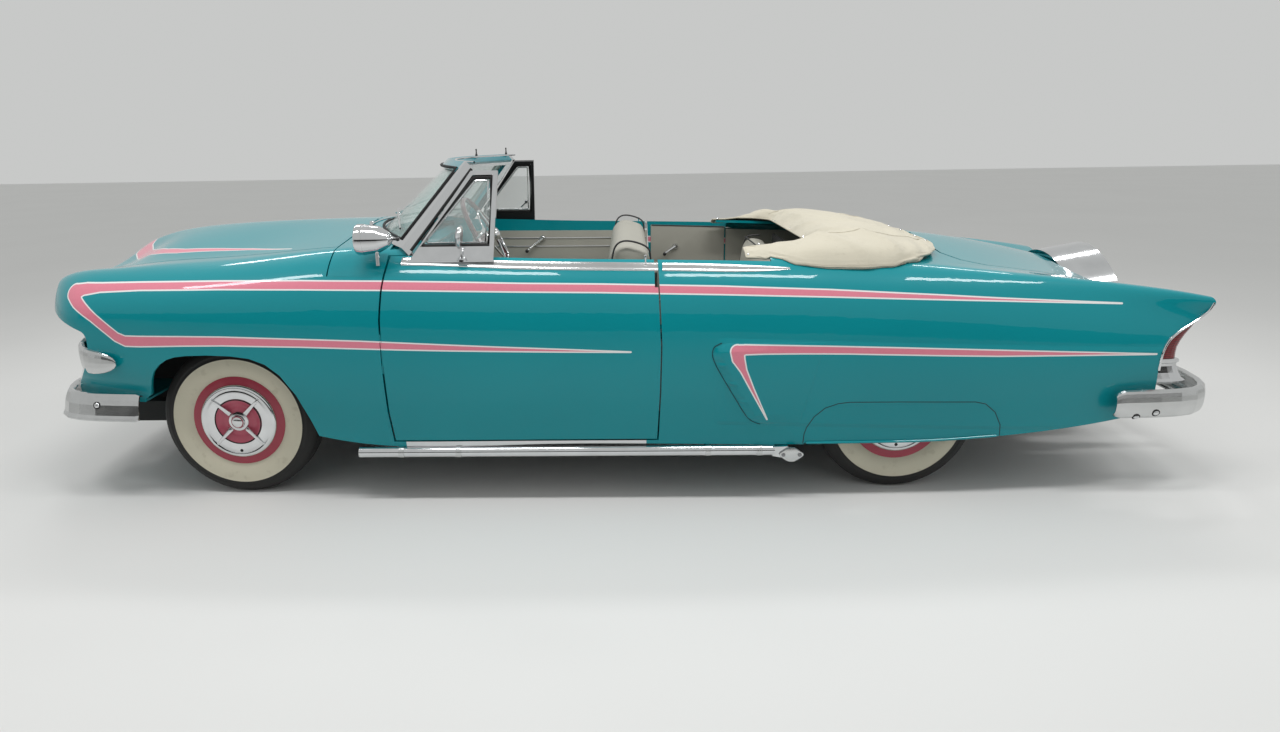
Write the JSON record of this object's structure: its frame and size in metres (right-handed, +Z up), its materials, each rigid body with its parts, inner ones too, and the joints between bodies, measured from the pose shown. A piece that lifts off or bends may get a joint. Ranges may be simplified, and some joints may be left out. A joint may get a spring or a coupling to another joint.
{
  "type": "two-door convertible car",
  "caption": "Open two-door custom car with fins, a floating grille bar, skirts and a spare wheel behind the deck; doors, hood, lid, wheels and steering move.",
  "frame": {"origin": "on the ground under the middle of the car's length and width", "axes": "+X forward, +Y to the car's left, +Z up"},
  "size_m": [5.18, 1.8908, 1.452],
  "materials": {
    "body_paint": "gloss",
    "under_paint": "matt",
    "chrome": "polished",
    "black_frame": "satin",
    "steel": "satin",
    "wheel_paint": "gloss",
    "tyre": "matt",
    "trim": "satin",
    "boot_cloth": "matt",
    "glass": "clear",
    "lamp_glass": "clear",
    "lens": "gloss",
    "wheel_rim": "gloss",
    "cast": "matt",
    "tank_steel": "matt"
  },
  "bodies": {
    "car": {"body_tub": "under_paint", "chassis_frame": "black_frame", "cowl": "body_paint", "dashboard": "body_paint", "deck_panel": "body_paint", "engine_block": "cast", "fender_skirts": "body_paint", "front_bumper": "chrome", "front_fender_left": "body_paint", "front_fender_right": "body_paint", "front_seat": "trim", "front_suspension": "black_frame", "fuel_tank": "tank_steel", "grille_bar": "chrome", "headlamps": "lamp_glass", "nose_panel": "body_paint", "quarter_left": "body_paint", "quarter_right": "body_paint", "radiator": "tank_steel", "rear_axle": "black_frame", "rear_bumper": "chrome", "rear_panel": "body_paint", "rear_seat": "trim", "side_pipes": "chrome", "sill_strips": "chrome", "spare_ring": "chrome", "spare_tyre": "tyre", "spotlight": "chrome", "steering_column": "black_frame", "tail_lamp_bezels": "chrome", "tail_lamps": "lens", "top_boot": "boot_cloth", "trunk_floor": "under_paint", "windshield_frame": "chrome", "windshield_glass": "glass"},
    "door_left": {"door_left": "body_paint", "vent_frame_left": "chrome", "vent_glass_left": "glass"},
    "door_right": {"door_right": "body_paint", "vent_frame_right": "black_frame", "vent_glass_right": "glass"},
    "hood": {"hood": "body_paint"},
    "deck_lid": {"deck_lid": "body_paint"},
    "knuckle_left": {"knuckle_left": "steel"},
    "knuckle_right": {"knuckle_right": "steel"},
    "steering_wheel": {"steering_wheel": "wheel_rim"},
    "wheel_front_left": {"wheel_front_left": "wheel_paint", "tyre_front_left": "tyre"},
    "wheel_front_right": {"wheel_front_right": "wheel_paint", "tyre_front_right": "tyre"},
    "wheel_rear_left": {"wheel_rear_left": "wheel_paint", "tyre_rear_left": "tyre"},
    "wheel_rear_right": {"wheel_rear_right": "wheel_paint", "tyre_rear_right": "tyre"}
  },
  "joints": [
    {"name": "door_left_hinge", "type": "hinge", "parent": "car", "child": "door_left", "pos_m": [0.9913, 0.9385, 0.6], "axis": [0, 0, -1], "range_deg": [0, 65]},
    {"name": "door_right_hinge", "type": "hinge", "parent": "car", "child": "door_right", "pos_m": [0.9913, -0.9385, 0.6], "axis": [0, 0, 1], "range_deg": [0, 65]},
    {"name": "hood_hinge", "type": "hinge", "parent": "car", "child": "hood", "pos_m": [1.2147, 0, 1.1565], "axis": [0, -1, 0], "range_deg": [0, 50]},
    {"name": "deck_lid_hinge", "type": "hinge", "parent": "car", "child": "deck_lid", "pos_m": [-1.4517, 0, 1.0525], "axis": [0, 1, 0], "range_deg": [0, 60]},
    {"name": "steer_left", "type": "hinge", "parent": "car", "child": "knuckle_left", "pos_m": [1.7, 0.624, 0.345], "axis": [0, 0, 1], "range_deg": [-32, 32]},
    {"name": "steer_right", "type": "hinge", "parent": "car", "child": "knuckle_right", "pos_m": [1.7, -0.624, 0.345], "axis": [0, 0, 1], "range_deg": [-32, 32]},
    {"name": "steering_turn", "type": "hinge", "parent": "car", "child": "steering_wheel", "pos_m": [0.612, 0.38, 1.094], "axis": [-0.866, 0, 0.5], "range_deg": [-768, 768]},
    {"name": "spin_front_left", "type": "hinge", "parent": "knuckle_left", "child": "wheel_front_left", "pos_m": [1.7, 0.7365, 0.345], "axis": [0, 1, 0], "continuous": true},
    {"name": "spin_front_right", "type": "hinge", "parent": "knuckle_right", "child": "wheel_front_right", "pos_m": [1.7, -0.7365, 0.345], "axis": [0, 1, 0], "continuous": true},
    {"name": "spin_rear_left", "type": "hinge", "parent": "car", "child": "wheel_rear_left", "pos_m": [-1.221, 0.711, 0.345], "axis": [0, 1, 0], "continuous": true},
    {"name": "spin_rear_right", "type": "hinge", "parent": "car", "child": "wheel_rear_right", "pos_m": [-1.221, -0.711, 0.345], "axis": [0, 1, 0], "continuous": true}
  ],
  "couplings": [
    {"joint": "steer_right", "follows": "steer_left", "ratio": 1},
    {"joint": "steering_turn", "follows": "steer_left", "ratio": 24}
  ]
}
